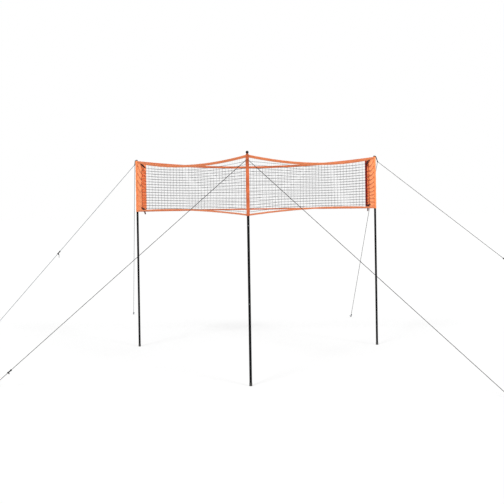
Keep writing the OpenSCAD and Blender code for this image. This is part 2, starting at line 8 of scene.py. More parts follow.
import bmesh
import bpy
from bpy.props import FloatProperty, IntProperty, PointerProperty, StringProperty
from bpy.types import Operator, Panel, PropertyGroup, Scene
from mathutils import Matrix, Vector, noise


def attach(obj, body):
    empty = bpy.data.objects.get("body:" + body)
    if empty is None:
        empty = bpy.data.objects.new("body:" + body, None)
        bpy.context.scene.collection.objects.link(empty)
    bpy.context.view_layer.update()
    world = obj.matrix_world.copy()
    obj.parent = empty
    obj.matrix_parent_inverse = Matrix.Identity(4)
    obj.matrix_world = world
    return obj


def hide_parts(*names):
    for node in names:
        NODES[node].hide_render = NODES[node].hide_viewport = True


bl_info = {
    "name": "Volleyball Net Set",
    "version": (1, 0, 0),
    "blender": (4, 5, 0),
    "location": "3D View > Sidebar > Net set",
    "description": "Builds the nets, cloth, cords and finishes of a three-pole volleyball net set",
    "category": "Add Mesh",
}

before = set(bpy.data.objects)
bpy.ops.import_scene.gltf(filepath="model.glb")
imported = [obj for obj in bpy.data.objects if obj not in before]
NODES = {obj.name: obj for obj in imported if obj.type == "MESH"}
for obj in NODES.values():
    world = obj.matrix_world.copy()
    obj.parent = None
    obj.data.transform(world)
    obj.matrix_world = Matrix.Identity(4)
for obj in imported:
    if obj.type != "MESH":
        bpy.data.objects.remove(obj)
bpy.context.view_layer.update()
ROOT = "net_set"
UP = Vector((0, 0, 1))

# ---- Where things are, in metres, as in the part's source ----
SPACING = 2.9
DEPTH = SPACING * sin(radians(60))
NEAR = Vector((0, -DEPTH / 2, 0))
LEFT = Vector((-SPACING / 2, DEPTH / 2, 0))
RIGHT = Vector((SPACING / 2, DEPTH / 2, 0))
NEAR_TOP, NEAR_BOTTOM = 2.242, 1.647
END_TOP, END_BOTTOM = 2.280, 1.655
FRONT_SAG, FRONT_RISE = 0.075, 0.033
BACK_SAG, BACK_RISE = 0.090, 0.004
TOP_TAPE, BOTTOM_TAPE = 0.027, 0.017
POLE_R = 0.0125
SLEEVE_R = 0.018
SEAM_R = 0.0150
FRONT_PANEL, BACK_PANEL = 0.166, 0.114
STRAP_HEIGHTS = {"bottom": END_BOTTOM + 0.038, "top": END_TOP - 0.060}
CORD_R = 0.00275
PEG_R = 0.003
EYE_H = 0.015


def turned(reach, bearing):
    """A level step of that reach, at that bearing in degrees from +X."""
    return Vector((reach * cos(radians(bearing)), reach * sin(radians(bearing)), 0))


def lerp(a, b, t):
    return a + (b - a) * t


def clamp(t):
    return min(1.0, max(0.0, t))


def rumple(x, y, z):
    """Smooth noise from -1 to 1 at that point."""
    return noise.noise(Vector((x, y, z)))


class Net:
    """One net's plane: its start pole, bearing, and the heights of its edges at x metres along it.

    drops holds how far its rows hang below even spacing, and spreads how much wider they are spaced, as (x, amount).
    """

    def __init__(self, name, pole, bearing, front, drops, spreads):
        self.name, self.pole, self.bearing, self.front = name, pole, bearing, front
        self.drops, self.spreads = drops, spreads
        self.along = turned(1, bearing)
        self.out = turned(1, bearing + 90)
        self.start = SLEEVE_R - 0.001 if front else BACK_PANEL
        self.end = SPACING - (FRONT_PANEL if front else BACK_PANEL)

    def edge(self, x, near, end, rise):
        """The height of an edge that runs from pole to pole, and is rise higher halfway."""
        t = x / SPACING
        return lerp(near if self.front else end, end, t) + 4 * rise * t * (1 - t)

    def top(self, x):
        return self.edge(x, NEAR_TOP, END_TOP, -FRONT_SAG if self.front else -BACK_SAG)

    def bottom(self, x):
        return self.edge(x, NEAR_BOTTOM, END_BOTTOM, FRONT_RISE if self.front else BACK_RISE)

    def point(self, x, z, off=0.0):
        return self.pole + x * self.along + off * self.out + z * UP


def between(marks, x):
    """The amount at x, read between (x, amount) marks with eased steps."""
    for (a, low), (b, high) in zip(marks, marks[1:]):
        if x <= b:
            t = clamp((x - a) / (b - a))
            return lerp(low, high, t * t * (3 - 2 * t))
    return marks[-1][1]


NETS = {
    "front_left": Net("front_left", NEAR, 120, True, ((0, 0.0085), (0.7, 0.0085), (1.2, 0.0135), (2.4, 0.012)),
                      ((0, 0.01), (0.5, 0.02), (1.2, 0.04), (2.0, 0.03), (2.5, 0.01))),
    "front_right": Net("front_right", NEAR, 60, True,
                       ((0.1, 0.007), (0.3, 0.001), (0.65, -0.004), (1.2, 0.001), (2.1, 0.009)),
                       ((0, 0.01), (0.5, 0.03), (1.2, 0.03), (2.0, 0.02), (2.5, 0.01))),
    "back": Net("back", LEFT, 0, False, ((0.15, 0.012), (0.8, 0.0075), (2.1, 0.0085), (2.8, 0.007)),
                ((0.15, -0.035), (0.5, 0.0), (2.4, 0.0), (2.75, -0.035))),
}

# Each pole: where it stands, its bearing out of the triangle, the loop's neck height, the net's top and the knot
POLES = {
    "near": (NEAR, -90, 2.245, NEAR_TOP, (0.0285, 2.196)),
    "left": (LEFT, 150, 2.284, END_TOP, (0.031, 2.234)),
    "right": (RIGHT, 30, 2.284, END_TOP, (0.046, 2.222)),
}
# Each guy: its pole, its reach along the ground, its bearing, and whether a runner slides on it
GUYS = {
    "near_left": ("near", 2.53, 180, True),
    "near_right": ("near", 2.40, -13.5, False),
    "left_outer": ("left", 2.28, 161, True),
    "left_far": ("left", 3.20, 100, False),
    "right_outer": ("right", 2.89, 9, True),
    "right_far": ("right", 2.63, 93, False),
}
# A guy starts this far from its knot's centre
GUY_START = 0.0074
# The left outer runner's place along its guy, and its ear's place on it
RUNNER_RUN, EAR_ALONG, EAR_OUT = 1.582, 0.008, 0.0135
# The camera's place, its turns in degrees (pan, tilt up from straight down, roll) and its lens shift
CAMERA_AT = (0.34607, -10.81131, 1.88217)
CAMERA_TURN = (3.13412, 90 - 0.28803, -0.91064)
CAMERA_SHIFT = (0.04455, -0.10942)


def knot_point(pole):
    stand, out, _, _, (reach, height) = POLES[pole]
    return stand + turned(reach, out) + height * UP


def eye_point(guy):
    pole, reach, bearing, _ = GUYS[guy]
    return POLES[pole][0] + turned(reach - PEG_R + 0.001, bearing) + EYE_H * UP


# ---- Settings ----
class NetSettings(PropertyGroup):
    """Sizes of the nets and their cloth."""
    front_columns: IntProperty(name="Front columns", description="Meshes along a front net", default=74)
    back_columns: IntProperty(name="Back columns", description="Meshes along the back net", default=71)
    rows: IntProperty(name="Rows", description="Meshes up a net", default=17)
    seed: IntProperty(name="Seed", description="Picks the drift of the twine", default=1, min=1)
    front_twine: FloatProperty(
        name="Front twine", description="Thickness of the upright twine in the front nets", default=0.0010,
        unit="LENGTH")
    back_twine: FloatProperty(
        name="Back twine", description="Thickness of the upright twine in the back net", default=0.0023, unit="LENGTH")
    front_row: FloatProperty(
        name="Front rows", description="Thickness of the level twine in the front nets", default=0.0034, unit="LENGTH")
    back_row: FloatProperty(
        name="Back rows", description="Thickness of the level twine in the back net", default=0.0023, unit="LENGTH")
    knot: FloatProperty(
        name="Twine knot", description="Size across a knot of the net", default=0.0048, unit="LENGTH")
    cloth: FloatProperty(
        name="Cloth", description="Thickness of the panels' doubled cloth", default=0.0016, unit="LENGTH")
    crease: FloatProperty(
        name="Crease", description="Height of the creases in the panels", default=0.0075, unit="LENGTH")


class FinishSettings(PropertyGroup):
    """Colours of the finishes."""
    cloth: StringProperty(name="Cloth", description="Orange of the sleeves and panels", default="F1935A")
    tape: StringProperty(name="Tape", description="Orange of the edge tapes", default="DC7B4A")
    twine: StringProperty(name="Twine", description="Black of the nets", default="0E0E10")
    paint: StringProperty(name="Paint", description="Black of the poles", default="060607")
    cord: StringProperty(name="Cord", description="Grey of the guys", default="0B0C0D")


class StageSettings(PropertyGroup):
    """The camera's place and the studio's light."""
    lens: FloatProperty(name="Lens", description="Focal length in millimetres", default=70.608)
    key: FloatProperty(name="Key", description="Strength of the light from the left", default=2.1)
    fill: FloatProperty(name="Fill", description="Strength of the light from the right", default=1.9)
    glow: FloatProperty(name="Floor glow", description="Light that the seen floor adds", default=0.64)
    ambient: FloatProperty(name="Ambient", description="Strength of the world's light", default=0.35)


# ---- Small makers ----
def linked(name, data):
    piece = bpy.data.objects.new(name, data)
    bpy.context.scene.collection.objects.link(piece)
    return piece


def mesh_from(bm, name, material):
    mesh = bpy.data.meshes.new(name)
    bm.to_mesh(mesh)
    bm.free()
    mesh.materials.append(material)
    return mesh


def finish_mesh(bm, name, material, smooth=True):
    """Turns a bmesh into a linked object with one material."""
    mesh = mesh_from(bm, name, material)
    for polygon in mesh.polygons:
        polygon.use_smooth = smooth
    piece = linked(name, mesh)
    return piece


def cloth_grid(across, up, width, height, place, shade=None):
    """A grid laid by place(s, t) for s and t from 0 to 1, with its UV map in metres.

    shade(s, t) fills a second UV map with the painted light and painted shade of a crease, from 0 (painted shade) to 1
    (painted light).
    """
    bm = bmesh.new()
    for layer in ("UVMap", "Folds")[:2 if shade else 1]:
        bm.loops.layers.uv.new(layer)
    uv, folds = bm.loops.layers.uv["UVMap"], bm.loops.layers.uv.get("Folds")
    bmesh.ops.create_grid(bm, x_segments=across, y_segments=up, size=0.5)
    for face in bm.faces:
        for loop in face.loops:
            s, t = loop.vert.co.x + 0.5, loop.vert.co.y + 0.5
            loop[uv].uv = (s * width, t * height)
            if shade:
                loop[folds].uv = (shade(s, t), 0)
    for vert in bm.verts:
        vert.co = place(vert.co.x + 0.5, vert.co.y + 0.5)
    bmesh.ops.recalc_face_normals(bm, faces=bm.faces)
    return bm


def solidify(piece, thickness, offset=0.0):
    wall = piece.modifiers.new("Wall", "SOLIDIFY")
    wall.thickness, wall.offset, wall.use_even_offset = thickness, offset, True
    return piece


def cord_curve(name, points, material):
    """A cord as a curve of one open spline."""
    curve = bpy.data.curves.new(name, "CURVE")
    curve.dimensions = "3D"
    curve.bevel_depth, curve.bevel_resolution, curve.use_fill_caps = CORD_R, 3, True
    spline = curve.splines.new("POLY")
    spline.points.add(len(points) - 1)
    for point, place in zip(spline.points, points):
        point.co = (*place, 1)
    curve.materials.append(material)
    piece = linked(name, curve)
    return piece


def rounded(points, steps=4):
    """A smooth path through the points, by Catmull-Rom, with its ends kept."""
    ends = [points[0] + (points[0] - points[1])] + list(points) + [points[-1] + (points[-1] - points[-2])]
    path = []
    for a, b, c, d in zip(ends, ends[1:], ends[2:], ends[3:]):
        for k in range(steps):
            t = k / steps
            path.append(0.5 * (2 * b + (c - a) * t + (2 * a - 5 * b + 4 * c - d) * t * t
                               + (3 * b - a - 3 * c + d) * t * t * t))
    path.append(points[-1].copy())
    return path


def facing(axis):
    """A turn that takes +Z to that axis."""
    return axis.to_track_quat("Z", "Y").to_matrix().to_4x4()


def path_length(points):
    return sum((b - a).length for a, b in zip(points, points[1:]))


def tube_into(bm, path, radius, sides, closed=False):
    """Sweeps a ring made by create_circle along a path, bridging ring to ring."""
    rings = []
    count = len(path)
    for i, place in enumerate(path):
        before = path[(i - 1) % count] if closed else path[max(i - 1, 0)]
        after = path[(i + 1) % count] if closed else path[min(i + 1, count - 1)]
        ring = bmesh.ops.create_circle(bm, segments=sides, radius=radius,
                                       matrix=Matrix.Translation(place) @ facing(after - before))
        rings.append(list(dict.fromkeys(edge for vert in ring["verts"] for edge in vert.link_edges)))
    pairs = list(zip(rings, rings[1:] + ([rings[0]] if closed else [])))
    for a, b in pairs[:count if closed else count - 1]:
        bmesh.ops.bridge_loops(bm, edges=a + b)
    if not closed:
        bmesh.ops.holes_fill(bm, edges=rings[0] + rings[-1], sides=sides)


def knot_piece(name, centre, axis, size, radius, material):
    """An overhand knot drawn up tight: a closed three-lobed turn of cord, flattened across its axis."""
    bm = bmesh.new()
    place = Matrix.Translation(centre) @ facing(axis) @ Matrix.Scale(size / 6.0, 4)
    path = [place @ Vector((sin(t) + 2 * sin(2 * t), cos(t) - 2 * cos(2 * t), -1.5 * sin(3 * t)))
            for t in (2 * pi * k / 40 for k in range(40))]
    tube_into(bm, path, radius, 8, closed=True)
    bmesh.ops.recalc_face_normals(bm, faces=bm.faces)
    return finish_mesh(bm, name, material)


# ---- Materials ----
# The shine of fibres and moulded plastic
DULL = {"IOR": 1.5, "Specular_IOR_Level": 0.25}


def linear(code, alpha=1.0):
    """An sRGB hex colour as the linear values that a shader takes."""
    parts = [int(code[i:i + 2], 16) / 255 for i in (0, 2, 4)]
    return (*(c / 12.92 if c <= 0.04045 else ((c + 0.055) / 1.055) ** 2.4 for c in parts), alpha)


def add_node(tree, kind, settings=None, inputs=None, links=None, stops=()):
    """Adds a shader node, sets its properties and sockets, and links {socket: (node, output)} into it.

    stops holds a colour ramp's (position, hex colour) pairs.
    """
    node = tree.nodes.new("ShaderNode" + kind)
    for key, value in (settings or {}).items():
        setattr(node, key, value)
    for key, value in (inputs or {}).items():
        node.inputs[key].default_value = value
    for key, (source, output) in (links or {}).items():
        tree.links.new(source.outputs[output], node.inputs[key])
    for stop, (position, code) in zip(node.color_ramp.elements if stops else (), stops):
        stop.position, stop.color = position, linear(code)
    return node


def new_material(name):
    """A material, its node tree, and the link that lays a pattern in metres on the piece itself."""
    material = bpy.data.materials.new(name)
    material.use_nodes = True
    where = add_node(material.node_tree, "TexCoord")
    return material, material.node_tree, {"Vector": (where, "Object")}


def dressed(material, colour, relief, strength, distance, invert=False, shine=None, **values):
    """The material with its colour, its relief (distance in metres) and its shader's own values set.

    colour, relief and shine are (node, output) pairs.
    """
    tree = material.node_tree
    shader = next(n for n in tree.nodes if n.type == "BSDF_PRINCIPLED")
    bump = add_node(tree, "Bump", {"invert": invert}, {"Strength": strength, "Distance": distance}, {"Height": relief})
    for key, pair in {"Base Color": colour, "Roughness": shine, "Normal": (bump, "Normal")}.items():
        if pair:
            tree.links.new(pair[0].outputs[pair[1]], shader.inputs[key])
    for key, value in values.items():
        shader.inputs[key.replace("_", " ")].default_value = value
    return material


def powder_coated_steel(code):
    """Powder-coated steel tube: a baked polyester skin with a fine orange peel and a satin shine."""
    material, tree, laid = new_material("powder_coated_steel")
    # Orange peel is about 1.5 mm from crest to crest
    peel = add_node(tree, "TexNoise", inputs={"Scale": 650.0, "Detail": 2.0}, links=laid)
    # Hands and bags rub the coat over lengths of some 120 mm
    rub = add_node(tree, "TexNoise", inputs={"Scale": 9.0, "Detail": 5.0, "Roughness": 0.65}, links=laid)
    tone = add_node(tree, "ValToRGB", links={"Fac": (rub, "Fac")}, stops=((0.35, code), (0.75, "0D0D0E")))
    shine = add_node(tree, "MapRange", inputs={"To Min": 0.5, "To Max": 0.65}, links={"Value": (rub, "Fac")})
    return dressed(material, (tone, "Color"), (peel, "Fac"), 0.12, 0.0003, shine=(shine, "Result"),
                   IOR=1.4, Specular_IOR_Level=0.12)


def zinc_plated_steel():
    """Zinc-plated steel rod and pressings: a dull blue-white metal with drawing lines and spangle."""
    material, tree, laid = new_material("zinc_plated_steel")
    spangle = add_node(tree, "TexNoise", inputs={"Scale": 220.0, "Detail": 4.0}, links=laid)
    tone = add_node(tree, "ValToRGB", links={"Fac": (spangle, "Fac")}, stops=((0, "9C9EA2"), (1, "C6C8CC")))
    shine = add_node(tree, "MapRange", inputs={"To Min": 0.28, "To Max": 0.5}, links={"Value": (spangle, "Fac")})
    return dressed(material, (tone, "Color"), (spangle, "Fac"), 0.1, 0.0002, shine=(shine, "Result"), Metallic=1.0)


def moulded_plastic():
    """Injection-moulded black polyamide: a fine spark-eroded grain with a soft sheen on its edges."""
    material, tree, laid = new_material("moulded_polyamide")
    # The grain is 0.4 mm across
    grain = add_node(tree, "TexVoronoi", inputs={"Scale": 2500.0}, links=laid)
    cloud = add_node(tree, "TexNoise", inputs={"Scale": 60.0, "Detail": 3.0}, links=laid)
    tone = add_node(tree, "ValToRGB", links={"Fac": (cloud, "Fac")}, stops=((0, "09090A"), (1, "131315")))
    return dressed(material, (tone, "Color"), (grain, "Distance"), 0.2, 0.0002, Roughness=0.5, **DULL)


def moulded_rubber():
    """Black moulded rubber: dull, a little dusty, with a moulded pebble."""
    material, tree, laid = new_material("moulded_rubber")
    dust = add_node(tree, "TexNoise", inputs={"Scale": 90.0, "Detail": 6.0, "Roughness": 0.7}, links=laid)
    tone = add_node(tree, "ValToRGB", links={"Fac": (dust, "Fac")}, stops=((0, "1C1C1C"), (1, "3A3936")))
    return dressed(material, (tone, "Color"), (dust, "Fac"), 0.3, 0.0004, Roughness=0.85, IOR=1.52)


def woven(name, code, dye_and_shade, thread_mm, roughness, sheen, stitches=(), folds=()):
    """Woven cloth on a UV map in metres: threads cross at thread_mm, with lines of stitching across v.

    stitches holds (v, every) pairs in metres: a line of stitches at v, one stitch every so often.
    folds holds the colours of the painted shade and the painted light of the creases, which the piece's second UV map
    marks.
    """
    material, tree, laid = new_material(name)
    where = laid["Vector"][0]
    parts = add_node(tree, "SeparateXYZ", links={"Vector": (where, "UV")})
    turns = 2 * pi / (thread_mm / 1000)
    waves = []
    for axis in ("X", "Y"):
        phase = add_node(tree, "Math", {"operation": "MULTIPLY"}, {1: turns}, {0: (parts, axis)})
        waves.append(add_node(tree, "Math", {"operation": "SINE"}, links={0: (phase, "Value")}))
    height = add_node(tree, "Math", {"operation": "MULTIPLY"}, links={0: (waves[0], "Value"), 1: (waves[1], "Value")})
    # Dye and wear vary over a hand's breadth, and the yarn over a few millimetres; on the near sleeve the darker tone
    # also paints the shade of its folds
    cloud = add_node(tree, "TexNoise", inputs={"Scale": 12.0, "Detail": 6.0, "Roughness": 0.6}, links=laid)
    yarn = add_node(tree, "TexNoise", inputs={"Scale": 420.0, "Detail": 2.0}, links=laid)
    blend = add_node(tree, "Math", {"operation": "MULTIPLY_ADD"}, {1: 0.35}, {0: (yarn, "Fac"), 2: (cloud, "Fac")})
    tone = add_node(tree, "ValToRGB", links={"Fac": (blend, "Value")}, stops=((0.42, dye_and_shade), (0.85, code)))
    colour = (tone, "Color")
    if folds:
        # Painted crease shade: the second UV map picks a colour between the painted shade and the painted light, and
        # that colour makes up 80% of the mix
        marks = add_node(tree, "UVMap", {"uv_map": "Folds"})
        depth = add_node(tree, "SeparateXYZ", links={"Vector": (marks, "UV")})
        shade = add_node(tree, "ValToRGB", links={"Fac": (depth, "X")}, stops=tuple(enumerate(folds)))
        colour = (add_node(tree, "Mix", {"data_type": "RGBA"}, {0: 0.8}, {6: colour, 7: (shade, "Color")}), 2)
    for v, every in stitches:
        # 1 inside the line's width, and inside each stitch's three quarters of its pitch
        line = add_node(tree, "Math", {"operation": "COMPARE"}, {1: v, 2: 0.0008}, {0: (parts, "Y")})
        step = add_node(tree, "Math", {"operation": "MODULO"}, {1: every}, {0: (parts, "X")})
        step = add_node(tree, "Math", {"operation": "LESS_THAN"}, {1: 0.75 * every}, {0: (step, "Value")})
        sewn = add_node(tree, "Math", {"operation": "MULTIPLY"}, links={0: (line, "Value"), 1: (step, "Value")})
        height = add_node(tree, "Math", {"operation": "MULTIPLY_ADD"}, {1: 3.0},
                          {0: (sewn, "Value"), 2: (height, "Value")})
        colour = (add_node(tree, "Mix", {"data_type": "RGBA"}, {7: linear("F2B08A")},
                           {0: (sewn, "Value"), 6: colour}), 2)
    return dressed(material, colour, (height, "Value"), 0.45, 0.0002,
                   Roughness=roughness, Sheen_Weight=sheen, Sheen_Roughness=0.5, **DULL)


def knotted_twine(code):
    """Knotted polyethylene twine of a net: black, a little greasy, with a fine twist."""
    material, tree, laid = new_material("knotted_twine")
    twist = add_node(tree, "TexNoise", inputs={"Scale": 900.0, "Detail": 2.0}, links=laid)
    fade = add_node(tree, "TexNoise", inputs={"Scale": 6.0, "Detail": 4.0}, links=laid)
    tone = add_node(tree, "ValToRGB", links={"Fac": (fade, "Fac")}, stops=((0, code), (1, "1C1D24")))
    return dressed(material, (tone, "Color"), (twist, "Fac"), 0.3, 0.0003, Roughness=0.75, **DULL)


def braided_cord(code, fleck):
    """Braided polyester cord: a diamond plait of 2 mm with paler flecks."""
    material, tree, laid = new_material("braided_cord_" + code.lower())
    plait = add_node(tree, "TexVoronoi", inputs={"Scale": 500.0}, links=laid)
    tone = add_node(tree, "ValToRGB", links={"Fac": (plait, "Distance")}, stops=((0, fleck), (0.55, code)))
    return dressed(material, (tone, "Color"), (plait, "Distance"), 0.5, 0.0005, invert=True, Roughness=0.8, **DULL)


FINISH = {}


def make_finishes(colours):
    FINISH.update(
        paint=powder_coated_steel(colours.paint),
        steel=zinc_plated_steel(),
        plastic=moulded_plastic(),
        rubber=moulded_rubber(),
        # Oxford cloth has threads 0.6 mm apart: drawn at 2.4 mm, because the real ones are too fine to show
        cloth=woven("orange_oxford_cloth", colours.cloth, "E98850", 2.4, 0.8, 0.06),
        # The folds colours paint the shade and the light of the panels' creases onto their cloth
        panel_cloth=woven("orange_panel_cloth", colours.cloth, "E98850", 2.4, 0.8, 0.06, folds=("A0421C", "FF9E6A")),
        # The back panels are redder, because the light comes through a single layer of them
        back_cloth=woven("orange_back_cloth", "FA8650", "F07A46", 2.4, 0.8, 0.04, folds=("DE6630", "FF9E66")),
        # The near pole's sleeve is drawn darker and more mottled, as painted shade of its vertical folds
        near_sleeve=woven("orange_sleeve_cloth", "CE6A3E", "A64A27", 2.4, 0.8, 0.06),
        # The front panels' inner edges are bound, and the binding's darker orange is painted shade along that edge
        binding=woven("orange_binding", "B44A1E", "A04018", 1.6, 0.8, 0.0),
        # The tapes are sewn with two lines 3 mm in from their edges
        **{f"{edge}_tape": woven(f"orange_{edge}_tape", colours.tape, "CE7040", 2.0, 0.78, 0.06,
                                 stitches=((0.003, 0.004), (width - 0.003, 0.004)))
           for edge, width in (("top", TOP_TAPE), ("bottom", BOTTOM_TAPE))},
        # The back net's tapes are the same orange tape as the front ones, drawn darker as painted shade and without
        # their stitching
        back_tape=woven("orange_back_tape", "C56A40", "B65E36", 2.0, 0.78, 0.06),
        webbing=woven("dark_webbing", "54180C", "401009", 1.6, 0.85, 0.0),
        # The back panels' inner edges carry webbing, and its dark red is painted shade along that edge
        edge_webbing=woven("dark_red_webbing", "8E1C08", "741606", 1.6, 0.85, 0.0),
        twine=knotted_twine(colours.twine),
        cord=braided_cord(colours.cord, "1C1D20"),
        # The left pole's guys and its loop are drawn in a paler grey, as painted light on them, and all the seizings
        # share this paler cord
        pale_cord=braided_cord("5A6268", "848B92"),
        # The near pole's loop is of the sleeve's orange
        orange_cord=braided_cord("B85A34", "D87A50"),
    )


# ---- Operators ----
def emptied(block):
    """The node tree of a material or world, with its nodes taken out."""
    block.use_nodes = True
    block.node_tree.nodes.clear()
    return block.node_tree


def seen_by(tree, *rays):
    """An output that is 1 for these kinds of ray."""
    path = add_node(tree, "LightPath")
    seen = (path, f"Is {rays[0]} Ray")
    for ray in rays[1:]:
        more = add_node(tree, "Math", {"operation": "MAXIMUM"}, links={0: seen, 1: (path, f"Is {ray} Ray")})
        seen = (more, "Value")
    return seen


class NETSET_OT_stage(Operator):
    """Sets the camera, the pale floor and the soft studio light"""
    bl_idname = "netset.stage"
    bl_label = "Stage"

    def execute(self, context):
        scene = context.scene
        settings = scene.netset_stage
        lens = bpy.data.cameras.new("camera")
        lens.lens, lens.sensor_width, lens.clip_end = settings.lens, 36.0, 200.0
        lens.shift_x, lens.shift_y = CAMERA_SHIFT
        camera = linked("camera", lens)
        pan, tilt, roll = (radians(a) for a in CAMERA_TURN)
        camera.matrix_world = (Matrix.Translation(CAMERA_AT) @ Matrix.Rotation(pan, 4, "Z")
                               @ Matrix.Rotation(tilt, 4, "X") @ Matrix.Rotation(roll, 4, "Z"))
        scene.camera = camera
        scene.view_settings.view_transform = "Standard"
        self.floor(settings)
        self.studio(scene, settings)
        # Two broad lights, each from one side of the camera, so that the cloth behind each front panel is lit
        for name, strength, bearing, height in (("key", settings.key, -118, 42), ("fill", settings.fill, -48, 36)):
            light = bpy.data.lights.new(name, "SUN")
            light.energy, light.angle = strength, radians(14)
            lamp = linked(name, light)
            towards = turned(cos(radians(height)), bearing) + sin(radians(height)) * UP
            lamp.matrix_world = Matrix.Translation(8 * towards) @ facing(towards)
        return {"FINISHED"}

    def floor(self, settings):
        bm = bmesh.new()
        bmesh.ops.create_grid(bm, x_segments=1, y_segments=1, size=60.0)
        material = bpy.data.materials.new("pale_floor")
        tree = emptied(material)
        # Seen by the camera the floor glows nearly white by itself, and its diffuse part keeps the shadows
        seen = seen_by(tree, "Camera", "Glossy")
        glow = add_node(tree, "Emission", inputs={"Color": (1, 1, 1, 1), "Strength": settings.glow})
        matt = add_node(tree, "BsdfDiffuse", inputs={"Color": linear("9A9A9A")})
        both = add_node(tree, "AddShader", links={0: (glow, "Emission"), 1: (matt, "BSDF")})
        pale = add_node(tree, "BsdfDiffuse", inputs={"Color": linear("E4E4E4")})
        mixed = add_node(tree, "MixShader", links={"Fac": seen, 1: (pale, "BSDF"), 2: (both, "Shader")})
        add_node(tree, "OutputMaterial", links={"Surface": (mixed, "Shader")})
        linked("floor", mesh_from(bm, "floor", material))

    def studio(self, scene, settings):
        """White wherever it is seen, and a dimmer light on the pieces."""
        scene.world = bpy.data.worlds.new("studio")
        tree = emptied(scene.world)
        seen = seen_by(tree, "Camera", "Glossy", "Transmission")
        soft, white = (add_node(tree, "Background", inputs={"Color": (1, 1, 1, 1), "Strength": strength})
                       for strength in (settings.ambient, 1.0))
        mixed = add_node(tree, "MixShader", links={"Fac": seen, 1: (soft, "Background"), 2: (white, "Background")})
        add_node(tree, "OutputWorld", links={"Surface": (mixed, "Shader")})


class NETSET_OT_guys(Operator):
    """Runs each guy from its knot to an eye round its peg"""
    bl_idname = "netset.guys"
    bl_label = "Guys"

    def execute(self, context):
        for name, (pole, reach, bearing, has_runner) in GUYS.items():
            knot, eye = knot_point(pole), eye_point(name)
            up = (knot - eye).normalized()
            start = knot - GUY_START * up
            riser = POLES[pole][0] + turned(reach, bearing) + EYE_H * UP
            across = up.cross(UP).normalized()
            # The eye is a loop 16 mm across that lies against the far side of the peg's riser
            loop_r = 0.008
            centre = riser + up * (loop_r - (PEG_R + CORD_R + 0.0002) / hypot(up.x, up.y))
            far = eye + up * 0.042
            straight = [start + (far - start) * (k / 12) for k in range(12)]
            # Round the loop from the guy's line, and back up beside the guy
            turns = [radians(60 + 30 * k) for k in range(9)]
            eye_path = [(0.026, 0.0018), (0.014, 0.0058), *((loop_r * cos(a), loop_r * sin(a)) for a in turns),
                        (0.014, -0.0064), (0.026, -0.0054), (0.040, -0.0058), (0.054, -0.0062)]
            path = straight + rounded([far] + [centre + u * up + v * across for u, v in eye_path])
            piece = cord_curve(name + "_guy_cord", path, FINISH["pale_cord" if pole == "left" else "cord"])
            seizing = self.seizing(name, eye + up * 0.036 - across * 0.0026, up)
            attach(piece, ROOT)
            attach(seizing, ROOT)
            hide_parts(name + "_guy")
            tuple(path[0])
            path_length(path)
        return {"FINISHED"}

    def seizing(self, name, centre, up):
        """Three turns of cord that bind the eye's end to the guy."""
        bm = bmesh.new()
        for k in (-1, 0, 1):
            place = Matrix.Translation(centre + up * 0.0034 * k) @ facing(up)
            path = [place @ Vector((0.0074 * cos(a), 0.0046 * sin(a), 0.0006 * sin(a)))
                    for a in map(radians, range(0, 360, 20))]
            tube_into(bm, path, 0.0018, 8, closed=True)
        bmesh.ops.recalc_face_normals(bm, faces=bm.faces)
        return finish_mesh(bm, name + "_seizing", FINISH["pale_cord"])


class NETSET_OT_loops(Operator):
    """Lays each pole's guy loop round its neck and ties its knot"""
    bl_idname = "netset.loops"
    bl_label = "Guy loops"

    def execute(self, context):
        for name, (stand, out, neck, top, (reach, height)) in POLES.items():
            arc_r, arc_z = 0.0094, neck + 0.0029
            rim = (SLEEVE_R + CORD_R + 0.001, 0.005, top + CORD_R - 0.0003)
            edge = (POLE_R + 0.002, 0.0068, arc_z)
            half = [(reach, CORD_R + 0.0004, height + 0.003), rim, edge]
            local = half + [(arc_r * cos(radians(a)), arc_r * sin(radians(a)), arc_z) for a in range(75, 286, 21)]
            local += [(x, -y, z) for x, y, z in reversed(half)]
            turn = Matrix.Translation(stand) @ Matrix.Rotation(radians(out), 4, "Z")
            path = rounded([turn @ Vector(p) for p in local])
            finish = FINISH["orange_cord" if name == "near" else "pale_cord" if name == "left" else "cord"]
            loop = cord_curve(name + "_loop_cord", path, finish)
            knot = knot_piece(name + "_loop_knot", knot_point(name), turned(1, out), 0.0140, 0.0026, finish)
            for piece in (loop, knot):
                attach(piece, ROOT)
            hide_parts(name + "_guy_loop")
            path_length(path)
        return {"FINISHED"}


class NETSET_OT_tail(Operator):
    """Hangs the loose end of cord from the left outer runner's ear"""
    bl_idname = "netset.tail"
    bl_label = "Runner tail"

    def execute(self, context):
        knot, eye = knot_point("left"), eye_point("left_outer")
        up = (knot - eye).normalized()
        level = Vector((up.x, up.y, 0)).normalized()
        across = Vector((-level.y, level.x, 0))
        down = level * up.z - hypot(up.x, up.y) * UP
        ear = eye + (RUNNER_RUN + EAR_ALONG) * up + EAR_OUT * down
        # Out of the ear and down: how far to its side, and how far below it
        path = rounded([ear + aside * across - below * UP for aside, below in (
            (-0.006, 0.0), (0.001, 0.0), (0.0046, 0.0006), (0.0068, 0.0036), (0.0073, 0.010), (0.0074, 0.024),
            (0.0073, 0.044))])
        tail = cord_curve("left_outer_tail_cord", path, FINISH["cord"])
        knot = knot_piece("left_outer_tail_knot", ear - 0.0085 * across, across, 0.0105, 0.0021, FINISH["cord"])
        for piece in (tail, knot):
            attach(piece, "left_outer_runner")
        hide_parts("left_outer_tail")
        path_length(path)
        return {"FINISHED"}


